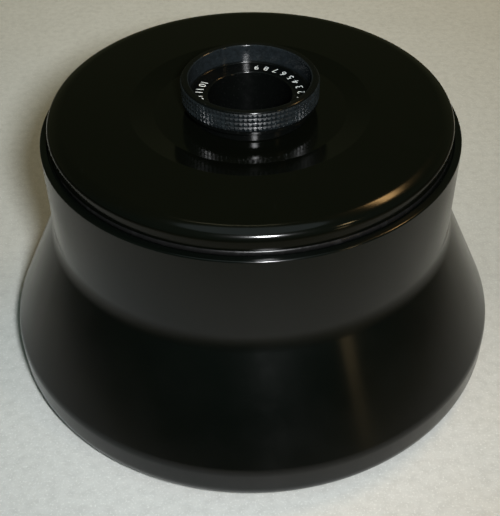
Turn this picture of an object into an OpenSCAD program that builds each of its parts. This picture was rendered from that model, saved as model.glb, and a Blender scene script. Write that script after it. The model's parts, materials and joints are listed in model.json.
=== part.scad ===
// Fixed angle rotor for a bench centrifuge: a flared one-piece body with eight slanted tube
// pockets, a screw-down lid with a knurled hand knob, and a captive screw in the drive hub.
// Millimetres. The origin is the centre of the base, +Z is up along the spin axis.

/* [Body] */
// Diameter of the upright rim
rim_d = 170; // [164:0.5:180]
// Height of the body from the base to the rim
body_h = 108; // [102:0.5:116]
// Largest diameter, at the belly
belly_d = 215.6; // [208:0.2:224]
// Height at which the flare meets the belly
belly_top = 18.5; // [15:0.5:24]
// Radius of the round between belly and base
foot_round = 13; // [6:0.5:14]
// Radius of the hollow round between rim and flare
waist_round = 18; // [4:1:40]
// Radius of the round between flare and belly
belly_round = 9; // [2:0.5:16]
// Radius of the rounded rim edges
rim_edge = 0.6; // [0.2:0.1:0.8]

/* [Tube pockets] */
// Number of tube pockets
pocket_count = 8; // [4:1:8]
// Bore of a tube pocket
pocket_d = 29.5; // [25:0.1:30.5]
// Lean of the pockets and of the flare, from upright
pocket_angle = 25; // [22:0.5:28]
// Metal between a pocket and the flare
pocket_wall = 7.5; // [6:0.5:10]
// Metal below a pocket
pocket_floor = 7.5; // [5:0.5:12]
// Straight length of a pocket above its round end
pocket_reach = 60; // [50:1:66]
// Width of the chamfer at a pocket mouth
mouth_chamfer = 0.8; // [0.3:0.1:1.5]

/* [Rim and lid seat] */
// Width of the lip outside the lid
rim_lip = 3.1; // [2:0.1:4]
// Gap between the lip and the lid edge
lid_gap = 0.45; // [0.3:0.05:0.8]
// Depth of the ring seat below the rim
seal_seat = 1.6; // [1.2:0.1:2.4]
// Width of the ring seat
seal_seat_w = 3.1; // [2.9:0.1:3.4]
// Depth of the lid seat below the rim
lid_seat = 5; // [4:0.5:8]
// Width of the lid seat
lid_seat_w = 3.3; // [2.5:0.1:5]
// Clearance between pieces that lift past each other
lift_gap = 0.3; // [0.2:0.05:0.5]

/* [Lid] */
// Height of the lid top above the rim
lid_rise = 9.45; // [8:0.05:12]
// Thickness of the lid plate
lid_t = 4; // [3:0.1:4.5]
// Height of the lid edge above the rim
edge_rise = 1.6; // [1.2:0.1:2.2]
// Slope of the crown inside the lid corner
crown_angle = 28; // [15:1:40]
// Height that the crown falls before the corner
crown_drop = 2.1; // [1.6:0.1:2.6]
// Radius of the lid corner
corner_round = 3.3; // [2:0.1:4]
// Radius where the crown meets the flat top
crown_round = 10; // [4:0.5:14]
// Diameter of the dish in the lid top
dish_d = 97; // [84:0.5:110]
// Diameter of the flat floor of the dish
dish_floor_d = 77.5; // [66:0.5:80]
// Depth of the dish
dish_depth = 1.8; // [0.8:0.1:2.4]
// Radius of the rounds at the foot of the boss and of the skirt
lid_round = 5; // [2:0.5:6]
// Diameter of the boss under the lid
boss_d = 54; // [48:0.5:58]
// Thickness of the lid at the boss
boss_t = 9.6; // [8:0.1:11]
// Section of the ring seal round the lid
lid_seal_d = 2.8; // [2:0.1:2.9]

/* [Knob] */
// Diameter over the knurl
knob_d = 55; // [51:0.1:60]
// Height of the knob top above the rim
knob_rise = 22; // [20:0.1:26]
// Height of the knurled grip, with its plain band
grip_h = 9.7; // [8:0.1:11]
// Height of the plain band under the knurl
band_h = 1.5; // [1:0.1:2.5]
// Thickness of the grip wall
grip_wall = 3.3; // [2.5:0.1:4]
// Depth of the recess inside the grip
recess_h = 8.1; // [6:0.1:9]
// Number of knurl ridges round the grip
knurl_count = 96; // [48:1:120]
// Number of knurl rows up the grip
knurl_rows = 4; // [2:1:5]
// Depth of the knurl
knurl_depth = 0.55; // [0.3:0.05:0.8]
// Share of a knurl pitch that is left flat
knurl_land = 0.4; // [0.2:0.05:0.6]
// Diameter of the neck below the grip
neck_d = 49; // [46:0.5:50]
// Bore of the knob and its sleeve
sleeve_bore_d = 33.4; // [30:0.1:34]
// Outer diameter of the sleeve
sleeve_d = 38.6; // [37.6:0.1:39.4]
// How far the sleeve reaches into the hub
sleeve_in = 11.8; // [8:0.1:16]
// Running clearance of turning pieces
run_gap = 0.08; // [0.02:0.01:0.1]
// How far the snap ring stands out of the sleeve
snap_out = 2.2; // [1.5:0.1:3]
// How far the washer's edge stands back from the boss edge
washer_inset = 2.5; // [1:0.1:4]
// Section of the ring seal under the knob
knob_seal_d = 1.8; // [1.4:0.1:2]
// Section of the ring seal round the sleeve
sleeve_seal_d = 1.5; // [1:0.1:1.7]
// Depth of that seal below the hub top
sleeve_seal_drop = 3; // [2:0.1:6]

/* [Hub] */
// Outer diameter of the hub that stands in the bowl
hub_d = 48; // [46:0.5:50]
// Depth of the hub top below the rim
hub_drop = 4.2; // [4:0.1:6]
// Bore of the hub below the sleeve
hub_bore_d = 32; // [28:0.5:33]
// Depth of the hub bore from the hub top to the sleeve shoulder
thread_depth = 14; // [12.5:0.1:20]
// Radius of the round at the foot of the hub
hub_round = 6; // [2:0.5:10]
// Radius of the round at the outer edge of the bowl floor
bowl_round = 7; // [2:0.5:9]

/* [Drive hub] */
// Depth of the recess in the base
under_d = 4; // [3.6:0.1:6]
// Diameter of the recess in the base
under_w = 104; // [96:1:112]
// Diameter of the drive hub flange
flange_d = 56; // [54:0.5:60]
// Thickness of the drive hub flange
flange_t = 6; // [5:0.1:8]
// Diameter of the drive hub barrel
barrel_d = 33; // [32.5:0.1:34]
// Height of the drive hub above the base
drive_top = 46; // [42:0.5:50]
// Bore for the spindle
spindle_d = 22; // [18:0.1:23]
// Depth of the spindle bore
spindle_h = 20; // [14:0.5:22]
// Bore of the chamber above the spindle
chamber_d = 16; // [15.6:0.1:17]
// Height of the chamber above the spindle
chamber_h = 10; // [8:0.5:12]
// Gap between pieces that are fitted once
fit_gap = 0.05; // [0.02:0.01:0.1]
// Section of the ring seal round the barrel
hub_seal_d = 1.8; // [1:0.1:2]
// Depth of that seal below the top of the drive hub
hub_seal_drop = 4; // [3:0.5:10]
// Number of hub screws
screw_count = 6; // [4:1:6]
// Diameter of the circle of hub screws
screw_circle_d = 43; // [42.5:0.1:43.5]
// Thread diameter of a hub screw
screw_d = 5; // [4:0.1:5]
// Length of a hub screw under its head
screw_l = 16; // [10:0.5:20]
// Diameter of a hub screw head
screw_head_d = 8.5; // [7:0.1:8.6]
// Height of a hub screw head
screw_head_h = 3.2; // [2.6:0.1:3.6]
// Width across flats of a hub screw socket
screw_socket_af = 4; // [3:0.5:5]
// Depth of a hub screw socket
screw_socket_h = 2.2; // [1.5:0.1:2.4]
// How far screws and dowels sit inside the flange face
head_sink = 0.4; // [0.2:0.1:0.8]
// Diameter of a locating dowel
dowel_d = 4; // [3:0.1:5]
// Length of a locating dowel
dowel_l = 11; // [9:0.5:16]
// Diameter of a drive pin
pin_d = 3.4; // [2.5:0.1:3.6]
// Length of a drive pin
pin_l = 6; // [5:0.1:8]
// How far a drive pin stands out
pin_out = 2.5; // [1:0.1:3]
// Diameter of the circle of drive pins
pin_circle_d = 28; // [27.5:0.1:28.5]
// Number of marker magnets
magnet_count = 4; // [2:1:8]
// Diameter of a marker magnet
magnet_d = 6; // [4:0.1:8]
// Thickness of a marker magnet
magnet_t = 2.5; // [1.5:0.1:4]
// Diameter of the circle of marker magnets
magnet_circle_d = 84; // [78:0.5:88]

/* [Tie-down screw] */
// Thread diameter of the tie-down screw
tie_d = 10; // [9:0.1:11]
// Length of the tie-down screw under its head
tie_l = 21; // [19:0.1:22]
// Diameter of the tie-down screw head
tie_head_d = 21; // [19:0.1:24]
// Height of the tie-down screw head
tie_head_h = 12; // [9:0.5:16]
// Width across flats of the socket
socket_af = 10; // [8:0.5:12]
// Depth of the socket
socket_h = 7; // [5:0.5:8]
// Section of the ring seal under the thrust washer
tie_seal_d = 1.6; // [1:0.1:2]
// Outer diameter of the thrust washer
washer_d = 20; // [18:0.5:22]
// Thickness of the thrust washer
washer_t = 1.5; // [1:0.1:2.5]
// Thickness of the snap rings
snap_t = 1.2; // [0.8:0.1:1.5]
// Width of the opening in the snap rings
snap_gap = 4; // [2:0.5:6]
// Thickness of the washer under the lid boss
boss_washer_t = 0.6; // [0.4:0.05:0.7]

/* [Hidden] */
$fn = 96;
eps = 0.01;
over = 1;            // how far a cut runs past the face that it opens
edge = 0.5;          // small turned edges
soft_edge = 1;       // larger turned edges
groove_gap = 0.1;    // on each side of a ring seal in its groove
hole_over = 1;       // from a screw or dowel tip to the end of its hole
dowel_count = 2;
pin_count = 2;
pin_turn = 90;       // the pins stand across the first pocket
band_inset = 0.2;    // from the knurl in to the plain band
core_inset = 0.3;    // from the knurl's valleys in to the turned core
knurl_inset = 0.6;   // from the knob top down to the knurl
seal_land = 1;       // face between the tie-down screw and its seal

anodised_black = [0.05, 0.05, 0.055];
steel = [0.72, 0.72, 0.74];
rubber_black = [0.12, 0.12, 0.12];
magnet_grey = [0.55, 0.55, 0.58];
washer_white = [0.9, 0.9, 0.88];

// Rim and flare
rim_r = rim_d / 2;
belly_r = belly_d / 2;
waist_z = belly_top + (belly_r - rim_r) / tan(pocket_angle);

// Pocket axis: a line that leans inwards, its round end near the base
pocket_r = pocket_d / 2;
flare_reach = belly_r * cos(pocket_angle) + belly_top * sin(pocket_angle);
axis_reach = flare_reach - pocket_wall - pocket_r;
end_z = pocket_floor + pocket_r;
end_r = (axis_reach - end_z * sin(pocket_angle)) / cos(pocket_angle);
mouth_r = end_r - pocket_reach * sin(pocket_angle);
mouth_z = end_z + pocket_reach * cos(pocket_angle);
mouth_over = 6;
function bowl_z(r) = mouth_z + (r - mouth_r) * tan(pocket_angle);

// Steps inside the rim, from the lip inwards
lip_r = rim_r - rim_lip;
lid_r = lip_r - lid_gap;
shoulder_r = lip_r - seal_seat_w;
skirt_r = shoulder_r - lift_gap;
bowl_r = shoulder_r - lid_seat_w;
seat_z = body_h - lid_seat;

// Lid
lid_top = body_h + lid_rise;
lid_under = lid_top - lid_t;
edge_z = body_h + edge_rise;
dish_z = lid_top - dish_depth;
boss_z = lid_top - boss_t;
boss_r = boss_d / 2;
corner_z = lid_top - crown_drop;
crown_r = lid_r - crown_drop / tan(crown_angle);
lid_seal_r = skirt_r + fit_gap + lid_seal_d / 2;
lid_seal_z = edge_z - fit_gap - lid_seal_d / 2;

// Knob, sleeve and what holds it in the lid
knob_r = knob_d / 2;
knob_top = body_h + knob_rise;
grip_z = knob_top - grip_h;
ledge_z = knob_top - recess_h;
knurl_z = grip_z + band_h;
neck_z = dish_z + run_gap;
sleeve_r = sleeve_d / 2;
sleeve_bore_r = sleeve_bore_d / 2;
hub_top = body_h - hub_drop;
sleeve_z = hub_top - sleeve_in;
thread_r = sleeve_r + lift_gap;
boss_bore_r = sleeve_r + run_gap;
boss_washer_z = boss_z - run_gap - boss_washer_t;
sleeve_snap_z = boss_washer_z - fit_gap - snap_t;
sleeve_snap_r = sleeve_r + snap_out;
snap_depth = 0.8;
knob_seal_r = (boss_bore_r + neck_d / 2) / 2;
seal_squeeze = 0.15;
sleeve_groove_r = sleeve_r - sleeve_seal_d;
sleeve_seal_z = hub_top - sleeve_seal_drop;
knurl_core_r = knob_r - knurl_depth - core_inset;
band_r = knob_r - band_inset;
knurl_top = knob_top - knurl_inset;
knob_groove_w = knob_seal_d + 2 * groove_gap;
knob_groove_h = knob_seal_d - seal_squeeze;

// Hub and drive hub
hub_r = hub_d / 2;
hub_bore_r = hub_bore_d / 2;
thread_z = hub_top - thread_depth;
flange_r = flange_d / 2;
flange_z = under_d;
barrel_z = flange_z + flange_t;
barrel_r = barrel_d / 2;
spindle_top = flange_z + spindle_h;
chamber_top = spindle_top + chamber_h;
hub_seal_z = drive_top - hub_seal_drop;
head_z = flange_z + head_sink;
screw_tip_z = head_z + screw_head_h + screw_l;
dowel_tip_z = head_z + dowel_l;
screw_circle_r = screw_circle_d / 2;
dowel_turn = 180 / screw_count;
pin_circle_r = pin_circle_d / 2;
magnet_circle_r = magnet_circle_d / 2;
magnet_turn = 180 / pocket_count;

// Tie-down screw
tie_r = tie_d / 2;
tie_washer_z = drive_top + fit_gap;
tie_head_z = tie_washer_z + washer_t + run_gap;
tie_snap_z = chamber_top - run_gap - snap_t;
tie_seal_r = tie_r + run_gap + tie_seal_d / 2 + seal_land;
tie_snap_r = chamber_d / 2 - lift_gap;

// ---- helpers ----

function unit(v) = v / norm(v);

// The points that round one corner of an outline; the round never eats more than half of a side
function corner(a, b, c, r, n) =
    let (u = unit(a - b), w = unit(c - b), half = acos(u * w) / 2,
         room = 0.49 * min(norm(a - b), norm(c - b)) * tan(half), q = min(r, room))
    q <= 0 ? [b] :
    let (centre = b + unit(u + w) * q / sin(half),
         p = b + u * q / tan(half) - centre, s = b + w * q / tan(half) - centre,
         start = atan2(p[1], p[0]), turn = (atan2(s[1], s[0]) - start + 540) % 360 - 180)
    [for (i = [0 : n]) centre + q * [cos(start + turn * i / n), sin(start + turn * i / n)]];

// An outline whose points are [radius, height, rounding]
function soften(p, n = 8) =
    let (k = len(p))
    [for (i = [0 : k - 1])
        each corner([p[(i + k - 1) % k][0], p[(i + k - 1) % k][1]], [p[i][0], p[i][1]],
                    [p[(i + 1) % k][0], p[(i + 1) % k][1]], p[i][2], n)];

// The four outline points of a groove in an outer face, from z0 up to z1
function groove(r, depth, z0, z1) = [[r, z0, 0], [r - depth, z0, 0], [r - depth, z1, 0], [r, z1, 0]];

// The same for a ring seal of section d about the height z
function seal_groove(r, d, z) = groove(r, d, z - d / 2 - groove_gap, z + d / 2 + groove_gap);

module turned(outline, n = 8) {
    rotate_extrude() polygon(soften(outline, n));
}

module ring(r, d, z) {
    translate([0, 0, z]) rotate_extrude() translate([r, 0]) circle(d = d, $fn = 48);
}

module tube(r_out, r_in, z0, z1) {
    translate([0, 0, z0]) difference() {
        cylinder(r = r_out, h = z1 - z0);
        translate([0, 0, -over]) cylinder(r = r_in, h = z1 - z0 + 2 * over);
    }
}

module around(count, r, turn = 0) {
    for (i = [0 : count - 1]) rotate([0, 0, turn + i * 360 / count]) translate([r, 0, 0]) children();
}

// A hole upwards from z0 to z1 for a piece of diameter d that is fitted once
module hole(d, z0, z1) {
    translate([0, 0, z0 - over]) cylinder(d = d + 2 * fit_gap, h = z1 - z0 + over);
}

// A hexagon socket, given across its flats
module hex(af, h) {
    cylinder(d = af / cos(30), h = h, $fn = 6);
}

// A snap ring: a flat ring with an opening
module snap_ring(r_out, r_in, z) {
    difference() {
        tube(r_out, r_in, z, z + snap_t);
        translate([0, -snap_gap / 2, z - over]) cube([r_out + over, snap_gap, snap_t + 2 * over]);
    }
}

// ---- rotor body ----

body_outline = [
    [flange_r + fit_gap, under_d, 0],
    [under_w / 2, under_d, 2 * soft_edge],
    [under_w / 2, 0, soft_edge],
    [belly_r, 0, foot_round],
    [belly_r, belly_top, belly_round],
    [rim_r, waist_z, waist_round],
    [rim_r, body_h, rim_edge],
    [lip_r, body_h, rim_edge],
    [lip_r, body_h - seal_seat, 0],
    [shoulder_r, body_h - seal_seat, edge],
    [shoulder_r, seat_z, 0],
    [bowl_r, seat_z, edge],
    [bowl_r, bowl_z(bowl_r), bowl_round],
    [hub_r, bowl_z(hub_r), hub_round],
    [hub_r, hub_top, soft_edge],
    [thread_r, hub_top, edge],
    [thread_r, thread_z, 0],
    [hub_bore_r, thread_z, edge],
    [hub_bore_r, drive_top + fit_gap, 0],
    [barrel_r + fit_gap, drive_top + fit_gap, 0],
    [barrel_r + fit_gap, barrel_z + fit_gap, 0],
    [flange_r + fit_gap, barrel_z + fit_gap, 0]
];

// One tube pocket: a slanted bore with a round end and a chamfered mouth
module pocket() {
    translate([end_r, 0, end_z]) rotate([0, -pocket_angle, 0]) {
        sphere(r = pocket_r);
        cylinder(r = pocket_r, h = pocket_reach + mouth_over);
        translate([0, 0, pocket_reach - mouth_chamfer])
            cylinder(r1 = pocket_r, r2 = pocket_r + mouth_chamfer + eps, h = mouth_chamfer + eps);
    }
}

module rotor_body() {
    color(anodised_black) difference() {
        turned(body_outline, 10);
        around(pocket_count, 0) pocket();
        around(screw_count, screw_circle_r) hole(screw_d, barrel_z, screw_tip_z + hole_over);
        around(dowel_count, screw_circle_r, dowel_turn) hole(dowel_d, barrel_z, dowel_tip_z + hole_over);
        around(magnet_count, magnet_circle_r, magnet_turn)
            hole(magnet_d, under_d, under_d + magnet_t + fit_gap);
    }
}

// ---- drive hub ----

drive_outline = [
    [spindle_d / 2, flange_z, soft_edge],
    [flange_r, flange_z, edge],
    [flange_r, barrel_z, 0],
    [barrel_r, barrel_z, 0],
    each seal_groove(barrel_r, hub_seal_d, hub_seal_z),
    [barrel_r, drive_top, edge],
    [tie_seal_r + tie_seal_d / 2 + groove_gap, drive_top, 0],
    [tie_seal_r + tie_seal_d / 2 + groove_gap, drive_top - tie_seal_d, 0],
    [tie_seal_r - tie_seal_d / 2 - groove_gap, drive_top - tie_seal_d, 0],
    [tie_seal_r - tie_seal_d / 2 - groove_gap, drive_top, 0],
    [tie_r + run_gap, drive_top, 0],
    [tie_r + run_gap, chamber_top, 0],
    [chamber_d / 2, chamber_top, 0],
    [chamber_d / 2, spindle_top, 0],
    [spindle_d / 2, spindle_top, 0]
];

module drive_hub() {
    color(steel) difference() {
        turned(drive_outline, 6);
        around(screw_count, screw_circle_r) {
            hole(screw_d, flange_z, barrel_z + over);
            hole(screw_head_d, flange_z, head_z + screw_head_h);
        }
        around(dowel_count, screw_circle_r, dowel_turn) hole(dowel_d, flange_z, barrel_z + over);
        around(pin_count, pin_circle_r, pin_turn) hole(pin_d, flange_z, flange_z + pin_l - pin_out);
    }
}

// Cap screws, heads down in their counterbores
module hub_screws() {
    color(steel) around(screw_count, screw_circle_r) translate([0, 0, head_z]) difference() {
        union() {
            cylinder(d = screw_head_d, h = screw_head_h);
            cylinder(d = screw_d, h = screw_head_h + screw_l);
        }
        translate([0, 0, -over]) hex(screw_socket_af, screw_socket_h + over);
    }
}

module hub_dowels() {
    color(steel) around(dowel_count, screw_circle_r, dowel_turn)
        translate([0, 0, head_z]) cylinder(d = dowel_d, h = dowel_l);
}

module drive_pins() {
    color(steel) around(pin_count, pin_circle_r, pin_turn) translate([0, 0, flange_z - pin_out])
        turned([[0, 0, 0], [pin_d / 2, 0, edge], [pin_d / 2, pin_l, 0], [0, pin_l, 0]], 4);
}

module marker_magnets() {
    color(magnet_grey) around(magnet_count, magnet_circle_r, magnet_turn)
        translate([0, 0, under_d]) cylinder(d = magnet_d, h = magnet_t);
}

module hub_seal() {
    color(rubber_black) ring(barrel_r - hub_seal_d / 2 + fit_gap / 2, hub_seal_d, hub_seal_z);
}

// ---- tie-down screw ----

tie_outline = [
    [0, tie_head_z - tie_l, 0],
    [tie_r, tie_head_z - tie_l, soft_edge],
    each groove(tie_r, snap_depth, tie_snap_z - fit_gap, tie_snap_z + snap_t + fit_gap),
    [tie_r, tie_head_z, 0],
    [tie_head_d / 2, tie_head_z, edge],
    [tie_head_d / 2, tie_head_z + tie_head_h, soft_edge],
    [0, tie_head_z + tie_head_h, 0]
];

module tie_down_screw() {
    color(steel) difference() {
        turned(tie_outline, 6);
        translate([0, 0, tie_head_z + tie_head_h - socket_h]) hex(socket_af, socket_h + over);
    }
}

module tie_down_washer() {
    color(steel) tube(washer_d / 2, tie_r + run_gap, tie_washer_z, tie_washer_z + washer_t);
}

module tie_down_retainer() {
    color(steel) snap_ring(tie_snap_r, tie_r - snap_depth + fit_gap, tie_snap_z);
}

module tie_down_seal() {
    color(rubber_black) ring(tie_seal_r, tie_seal_d - 2 * fit_gap, drive_top - tie_seal_d / 2);
}

// ---- lid ----

lid_outline = [
    [boss_bore_r, boss_z, edge],
    [boss_r, boss_z, soft_edge],
    [boss_r, lid_under, lid_round],
    [bowl_r, lid_under, lid_round],
    [bowl_r, seat_z, edge],
    [skirt_r, seat_z, edge],
    [skirt_r, edge_z, 0],
    [lid_r, edge_z, edge],
    [lid_r, corner_z, corner_round],
    [crown_r, lid_top, crown_round],
    [dish_d / 2, lid_top, 2 * soft_edge],
    [dish_floor_d / 2, dish_z, 2 * soft_edge],
    [boss_bore_r, dish_z, edge]
];

module lid() {
    color(anodised_black) turned(lid_outline, 10);
}

module lid_seal() {
    color(rubber_black) ring(lid_seal_r, lid_seal_d, lid_seal_z);
}

// ---- knob ----

knob_outline = [
    [sleeve_bore_r, sleeve_z, edge],
    [sleeve_r, sleeve_z, edge],
    each seal_groove(sleeve_r, sleeve_seal_d, sleeve_seal_z),
    each groove(sleeve_r, snap_depth, sleeve_snap_z - fit_gap, sleeve_snap_z + snap_t + fit_gap),
    [sleeve_r, neck_z, 0],
    [knob_seal_r - knob_groove_w / 2, neck_z, 0],
    [knob_seal_r - knob_groove_w / 2, neck_z + knob_groove_h, 0],
    [knob_seal_r + knob_groove_w / 2, neck_z + knob_groove_h, 0],
    [knob_seal_r + knob_groove_w / 2, neck_z, 0],
    [neck_d / 2, neck_z, edge],
    [neck_d / 2, grip_z, soft_edge],
    [band_r, grip_z, edge],
    [band_r, knurl_z, 0],
    [knurl_core_r, knurl_z, 0],
    [knurl_core_r, knob_top, edge],
    [knob_r - grip_wall, knob_top, edge],
    [knob_r - grip_wall, ledge_z, edge],
    [sleeve_bore_r, ledge_z, edge]
];

// Square knurl: upright ridges cut by level grooves
module knurl() {
    row = (knurl_top - knurl_z) / knurl_rows;
    half = 180 / knurl_count;
    notch = row * (1 - knurl_land) / 2;
    difference() {
        translate([0, 0, knurl_z]) linear_extrude(knurl_top - knurl_z) difference() {
            polygon([for (i = [0 : knurl_count - 1])
                each [for (s = [[-1, 1], [-knurl_land, 0], [knurl_land, 0]])
                    let (a = 2 * half * i + s[0] * half, r = knob_r - s[1] * knurl_depth)
                    r * [cos(a), sin(a)]]]);
            circle(r = knurl_core_r - edge);
        }
        rotate_extrude() for (i = [0 : knurl_rows])
            translate([knob_r + eps, knurl_z + i * row])
                polygon([[0, -notch], [0, notch], [-knurl_depth, 0]]);
    }
}

module lid_knob() {
    color(anodised_black) {
        turned(knob_outline, 5);
        knurl();
    }
}

module knob_seal() {
    color(rubber_black) ring(knob_seal_r, knob_groove_h - fit_gap, neck_z + knob_groove_h / 2);
}

module sleeve_seal() {
    color(rubber_black) ring(sleeve_groove_r + sleeve_seal_d / 2 + fit_gap, sleeve_seal_d, sleeve_seal_z);
}

module knob_washer() {
    color(washer_white)
        tube(boss_r - washer_inset, sleeve_r + run_gap, boss_washer_z, boss_washer_z + boss_washer_t);
}

module knob_retainer() {
    color(steel) snap_ring(sleeve_snap_r, sleeve_r - snap_depth + fit_gap, sleeve_snap_z);
}

rotor_body();
drive_hub();
hub_screws();
hub_dowels();
drive_pins();
marker_magnets();
hub_seal();
tie_down_screw();
tie_down_washer();
tie_down_retainer();
tie_down_seal();
lid();
lid_seal();
lid_knob();
knob_seal();
sleeve_seal();
knob_washer();
knob_retainer();
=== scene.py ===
"""Looks of a fixed angle rotor: a flared black body with a gloss lid and a knurled hand knob."""

import json
import math

import bmesh
import bpy
from bpy.props import FloatProperty, FloatVectorProperty, IntProperty, PointerProperty
from mathutils import Matrix, Vector

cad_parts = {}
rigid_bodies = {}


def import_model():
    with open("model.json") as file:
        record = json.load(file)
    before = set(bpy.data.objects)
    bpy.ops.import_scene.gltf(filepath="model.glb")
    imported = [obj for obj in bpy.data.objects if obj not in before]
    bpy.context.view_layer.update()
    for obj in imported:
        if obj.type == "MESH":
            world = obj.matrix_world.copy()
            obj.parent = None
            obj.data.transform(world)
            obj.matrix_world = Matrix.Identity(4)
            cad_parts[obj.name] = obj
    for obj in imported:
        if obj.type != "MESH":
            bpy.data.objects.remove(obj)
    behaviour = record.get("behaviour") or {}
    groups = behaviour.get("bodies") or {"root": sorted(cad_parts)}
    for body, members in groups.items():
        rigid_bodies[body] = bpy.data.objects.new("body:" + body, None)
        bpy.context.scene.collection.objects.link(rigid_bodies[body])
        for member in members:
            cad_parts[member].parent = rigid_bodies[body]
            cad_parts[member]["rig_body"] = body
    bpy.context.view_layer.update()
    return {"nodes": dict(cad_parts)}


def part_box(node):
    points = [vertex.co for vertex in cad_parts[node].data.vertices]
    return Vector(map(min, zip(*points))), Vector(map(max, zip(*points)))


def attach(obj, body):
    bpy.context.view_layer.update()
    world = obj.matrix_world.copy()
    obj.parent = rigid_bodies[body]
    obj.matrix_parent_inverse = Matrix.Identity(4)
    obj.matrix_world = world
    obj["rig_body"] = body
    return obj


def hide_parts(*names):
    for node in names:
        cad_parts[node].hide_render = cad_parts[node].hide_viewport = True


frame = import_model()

bl_info = {
    "name": "Fixed angle rotor",
    "version": (1, 0, 0),
    "blender": (4, 5, 0),
    "location": "3D View > Sidebar > Rotor",
    "description": "Makes the turned, knurled and anodised pieces of a fixed angle rotor",
    "category": "Object",
}

MM = 0.001
TINY = 1e-7
TURN_SEGMENTS = 256      # round each turned piece
POCKET_SEGMENTS = 96     # round each pocket
POCKET_ARC_STEPS = 20    # along the round end of a pocket
ARC_STEPS = 8            # along each rounded corner of an outline
SEAL_SEGMENTS = 24       # round the section of a ring seal
THREAD_STEPS = 72        # along one turn of a thread
THREAD_SINK = 0.02 * MM  # from the wall down to the root of a thread
HUB_THREAD = 0.16 * MM   # rise of the thread in the hub
SLEEVE_THREAD = 0.1 * MM  # rise of the thread on the sleeve
EDGE = 0.5 * MM          # rounding of a plain edge
DIGIT_RISE = 0.02 * MM   # of the filled numbers over the metal
SHARP_ANGLE = math.radians(28)
RING_WEIGHT = 1.37       # of height against radius in turning marks; off 1, so a 45 degree face has them too

# Lower than those of real anodising and rubber, so that the black pieces stay dark beside the flash
BODY_IOR, LID_IOR, KNOB_IOR, KNURL_IOR, RUBBER_IOR = 1.33, 1.3, 1.28, 1.38, 1.2

FLOOR_HALF = 3.0
SHEET_HALF = 0.27        # half width of the pale sheet, to every ray but the camera's own
SHEET_FADE = (-0.03, 0.05)                # from that edge, where its fading starts and stops
SHEET_SPAN = (-0.22, 0.36)                # along y, where the painted light on the sheet starts and stops
# Painted light: the sheet is painted bright in front of the rotor, dimmer beside it and paler again behind,
# in place of the lamps' fall-off.
SHEET_PAINTED_LIGHT = ((0, (1, 1, 1)), (0.42, (0.525, 0.54, 0.525)), (1, (0.79, 0.8, 0.75)))
BEYOND_SHEET = (0.03, 0.03, 0.026)

ROOM_NEAR = (0.05, 0.08, 0.068)
ROOM_FAR = ((0.42, (0.075, 0.08, 0.042)), (0.56, (0.06, 0.066, 0.033)))   # from low down to high up
ROOM_TURN = 0.3          # the near side gives way to the far side between -0.3 and 0.3 along y
BACKDROP = (0.42, 0.42, 0.4)
AMBER, DEEP_AMBER = (1, 0.72, 0.36), (1, 0.6, 0.24)

SENSOR, LENS = 36, 68.43                  # mm
CAMERA_PLACE = (0, -0.3260, 0.3243)
CAMERA_PITCH, CAMERA_YAW, CAMERA_ROLL = math.radians(41.65), math.radians(-0.15), math.radians(-0.72)

BODY_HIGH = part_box("rotor_body")[1]
LID_LOW, LID_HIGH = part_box("lid")
KNOB_LOW, KNOB_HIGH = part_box("lid_knob")
HUB_LOW, HUB_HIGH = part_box("drive_hub")

SEALS = ("hub_seal", "tie_down_seal", "lid_seal", "knob_seal", "sleeve_seal")
STEEL_NODES = ("drive_hub", "hub_screws", "hub_dowels", "drive_pins", "tie_down_screw", "tie_down_washer")
SPRING_NODES = ("tie_down_retainer", "knob_retainer")


# ---- sizes and colours ----


def length(name, text, default):
    return FloatProperty(name=name, description=text, default=default, unit="LENGTH", precision=5)


def colour(name, text, default):
    return FloatVectorProperty(
        name=name, description=text, default=default, size=3, min=0, max=1, subtype="COLOR"
    )


class BodySizes(bpy.types.PropertyGroup):
    rim: length("Rim radius", "Radius of the upright rim", 85 * MM)
    belly_top: length("Belly top", "Height at which the flare meets the belly", 18.5 * MM)
    foot_round: length("Foot round", "Radius between belly and base", 13 * MM)
    waist_round: length("Waist round", "Radius of the hollow between rim and flare", 18 * MM)
    belly_round: length("Belly round", "Radius between flare and belly", 9 * MM)
    lean: FloatProperty(
        name="Lean", description="Lean of pockets and flare", default=math.radians(25), subtype="ANGLE"
    )
    pockets: IntProperty(name="Pockets", description="Number of tube pockets", default=8, min=1)
    pocket: length("Pocket radius", "Radius of a tube pocket", 14.75 * MM)
    pocket_wall: length("Pocket wall", "Metal beside and below a pocket", 7.5 * MM)
    pocket_reach: length("Pocket reach", "Straight length of a pocket above its round end", 60 * MM)
    lip: length("Lip radius", "Radius inside the lip", 81.9 * MM)
    shoulder: length("Shoulder radius", "Radius inside the ring seat", 78.8 * MM)
    bowl: length("Bowl radius", "Radius of the bowl wall", 75.5 * MM)
    seal_seat: length("Ring seat", "Depth of the ring seat", 1.6 * MM)
    lid_seat: length("Lid seat", "Depth of the lid seat", 5 * MM)
    hub: length("Hub radius", "Outer radius of the hub in the bowl", 24 * MM)
    hub_drop: length("Hub drop", "Depth of the hub top below the rim", 4.2 * MM)
    thread: length("Thread radius", "Radius of the threaded hub bore", 19.6 * MM)
    thread_depth: length("Thread depth", "Depth of the threaded hub bore", 14 * MM)
    bore: length("Bore radius", "Radius of the hub bore", 16 * MM)
    under: length("Recess radius", "Radius of the recess in the base", 52 * MM)
    thread_pitch: length("Thread pitch", "Rise of the thread in one turn", 1.5 * MM)


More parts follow.
